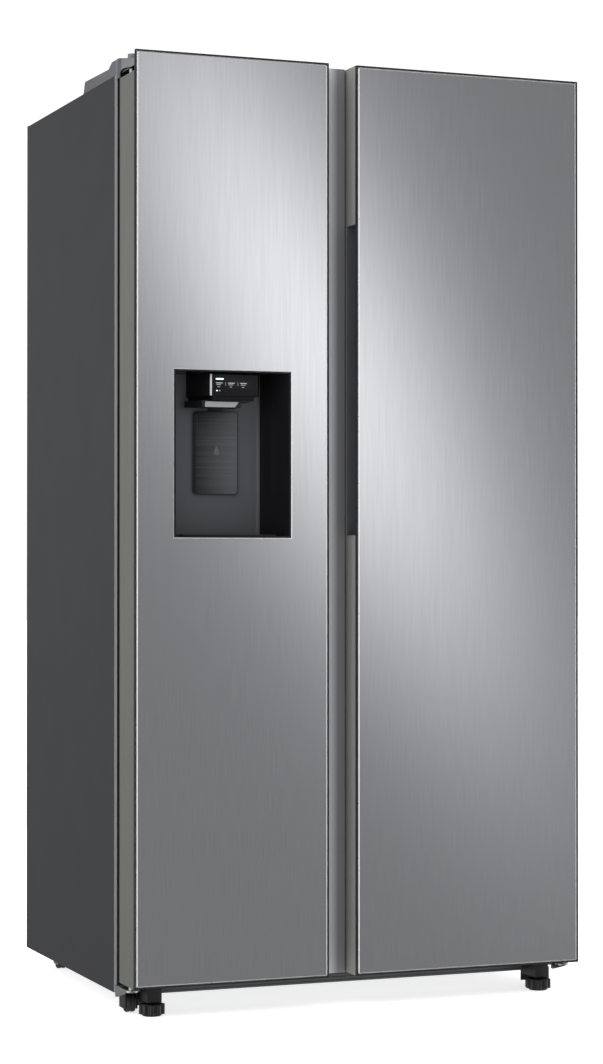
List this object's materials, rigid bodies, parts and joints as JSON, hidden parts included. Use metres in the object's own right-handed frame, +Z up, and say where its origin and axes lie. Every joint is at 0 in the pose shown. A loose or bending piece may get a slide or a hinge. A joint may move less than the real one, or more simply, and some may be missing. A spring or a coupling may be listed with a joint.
{
  "type": "side by side refrigerator",
  "caption": "Free-standing side by side refrigerator with a freezer door and ice and water dispenser on the left, a wider fridge door on the right, drawers, shelves and door bins inside.",
  "frame": {"origin": "on the floor under the middle of the whole refrigerator, doors closed", "axes": "+Z up, doors face -Y, +X to the right of someone facing the doors"},
  "size_m": [0.912, 0.727, 1.778],
  "materials": {
    "case_paint": "fine texture",
    "stainless": "vertical brushed grain",
    "door_side_paint": "satin",
    "hinge_cover_plastic": "fine texture",
    "grip_plastic": "satin",
    "black_plastic": "matt",
    "dispenser_plastic": "satin gloss",
    "chute_plastic": "gloss",
    "white_plastic": "satin gloss",
    "clear_plastic": "clear",
    "shelf_glass": "clear",
    "seal_rubber": "matt",
    "wheel_rubber": "matt",
    "zinc_steel": "zinc plated",
    "black_steel": "satin black",
    "insulation_foam": "foamed",
    "coil_copper": "drawn tube",
    "coil_aluminium": "drawn tube",
    "wire_coating": "white coat"
  },
  "bodies": {
    "case": {"cabinet_wrapper": "case_paint", "cabinet_foam": "insulation_foam", "freezer_liner": "white_plastic", "fridge_liner": "white_plastic", "mullion_bar": "case_paint", "back_panel": "zinc_steel", "base_pan": "black_steel", "kick_rail": "hinge_cover_plastic", "top_hinge_left": "zinc_steel", "top_hinge_right": "zinc_steel", "bottom_hinge_left": "black_steel", "bottom_hinge_right": "black_steel", "hinge_cover_left": "hinge_cover_plastic", "hinge_cover_right": "hinge_cover_plastic", "hinge_bolts": "zinc_steel", "roller_bracket_left": "black_steel", "roller_bracket_right": "black_steel", "compressor": "black_steel", "condenser_coil": "coil_copper", "fan_shroud": "black_plastic", "rear_cover": "black_steel", "water_valve": "white_plastic", "power_inlet": "black_plastic", "evaporator_coil": "coil_aluminium", "evaporator_cover": "white_plastic", "ice_maker": "white_plastic", "freezer_shelves": "wire_coating", "fridge_shelf_glass": "shelf_glass", "fridge_shelf_trims": "white_plastic", "room_lamps": "clear_plastic"},
    "freezer_door": {"freezer_door_panel": "stainless", "freezer_door_body": "door_side_paint", "grip_strip": "grip_plastic", "freezer_door_liner": "white_plastic", "freezer_door_gasket": "seal_rubber", "freezer_door_bins": "clear_plastic", "dispenser_housing": "dispenser_plastic", "dispenser_head": "dispenser_plastic", "dispenser_chute": "chute_plastic", "drip_tray": "dispenser_plastic"},
    "fridge_door": {"fridge_door_panel": "stainless", "fridge_door_body": "door_side_paint", "fridge_door_liner": "white_plastic", "fridge_door_gasket": "seal_rubber", "fridge_door_bins": "clear_plastic"},
    "front_roller_left": {"front_roller_left": "wheel_rubber"},
    "front_roller_right": {"front_roller_right": "wheel_rubber"},
    "rear_roller_left": {"rear_roller_left": "wheel_rubber"},
    "rear_roller_right": {"rear_roller_right": "wheel_rubber"},
    "leveling_leg_left": {"leveling_leg_left": "black_plastic"},
    "leveling_leg_right": {"leveling_leg_right": "black_plastic"},
    "condenser_fan": {"condenser_fan": "black_plastic"},
    "evaporator_fan": {"evaporator_fan": "black_plastic"},
    "crisper_upper": {"crisper_upper": "clear_plastic"},
    "crisper_lower": {"crisper_lower": "clear_plastic"},
    "freezer_basket_upper": {"freezer_basket_upper": "clear_plastic"},
    "freezer_basket_lower": {"freezer_basket_lower": "clear_plastic"},
    "ice_bin": {"ice_bin": "clear_plastic"},
    "dispenser_paddle": {"dispenser_paddle": "dispenser_plastic"},
    "dairy_lid": {"dairy_lid": "clear_plastic"}
  },
  "joints": [
    {"name": "freezer_door_hinge", "type": "hinge", "parent": "case", "child": "freezer_door", "pos_m": [-0.442, -0.3135, 0.9], "axis": [0, 0, -1], "range_deg": [0, 130]},
    {"name": "fridge_door_hinge", "type": "hinge", "parent": "case", "child": "fridge_door", "pos_m": [0.442, -0.3135, 0.9], "axis": [0, 0, 1], "range_deg": [0, 130]},
    {"name": "paddle_press", "type": "hinge", "parent": "freezer_door", "child": "dispenser_paddle", "pos_m": [-0.267, -0.28, 1.1335], "axis": [1, 0, 0], "range_deg": [0, 1.4], "stiffness_Nm_per_rad": 1.2, "springref_deg": -2.86},
    {"name": "dairy_lid_lift", "type": "hinge", "parent": "fridge_door", "child": "dairy_lid", "pos_m": [0.217, -0.229, 1.5445], "axis": [1, 0, 0], "range_deg": [0, 75]},
    {"name": "crisper_upper_slide", "type": "slide", "parent": "case", "child": "crisper_upper", "axis": [0, -1, 0], "range_m": [0, 0.08]},
    {"name": "crisper_lower_slide", "type": "slide", "parent": "case", "child": "crisper_lower", "axis": [0, -1, 0], "range_m": [0, 0.08]},
    {"name": "freezer_basket_upper_slide", "type": "slide", "parent": "case", "child": "freezer_basket_upper", "axis": [0, -1, 0], "range_m": [0, 0.08]},
    {"name": "freezer_basket_lower_slide", "type": "slide", "parent": "case", "child": "freezer_basket_lower", "axis": [0, -1, 0], "range_m": [0, 0.08]},
    {"name": "ice_bin_slide", "type": "slide", "parent": "case", "child": "ice_bin", "axis": [0, -1, 0], "range_m": [0, 0.08]},
    {"name": "front_roller_left_spin", "type": "hinge", "parent": "case", "child": "front_roller_left", "pos_m": [-0.427, -0.25, 0.0185], "axis": [1, 0, 0], "continuous": true},
    {"name": "rear_roller_left_spin", "type": "hinge", "parent": "case", "child": "rear_roller_left", "pos_m": [-0.4, 0.3, 0.0175], "axis": [1, 0, 0], "continuous": true},
    {"name": "leveling_leg_left_turn", "type": "hinge", "parent": "case", "child": "leveling_leg_left", "pos_m": [-0.398, -0.297, 0.02], "axis": [0, 0, 1], "continuous": true},
    {"name": "front_roller_right_spin", "type": "hinge", "parent": "case", "child": "front_roller_right", "pos_m": [0.427, -0.25, 0.0185], "axis": [1, 0, 0], "continuous": true},
    {"name": "rear_roller_right_spin", "type": "hinge", "parent": "case", "child": "rear_roller_right", "pos_m": [0.4, 0.3, 0.0175], "axis": [1, 0, 0], "continuous": true},
    {"name": "leveling_leg_right_turn", "type": "hinge", "parent": "case", "child": "leveling_leg_right", "pos_m": [0.398, -0.297, 0.02], "axis": [0, 0, 1], "continuous": true},
    {"name": "condenser_fan_spin", "type": "hinge", "parent": "case", "child": "condenser_fan", "pos_m": [0.01, 0.278, 0.13], "axis": [1, 0, 0], "continuous": true},
    {"name": "evaporator_fan_spin", "type": "hinge", "parent": "case", "child": "evaporator_fan", "pos_m": [-0.23, 0.248, 1.225], "axis": [0, 1, 0], "continuous": true}
  ]
}
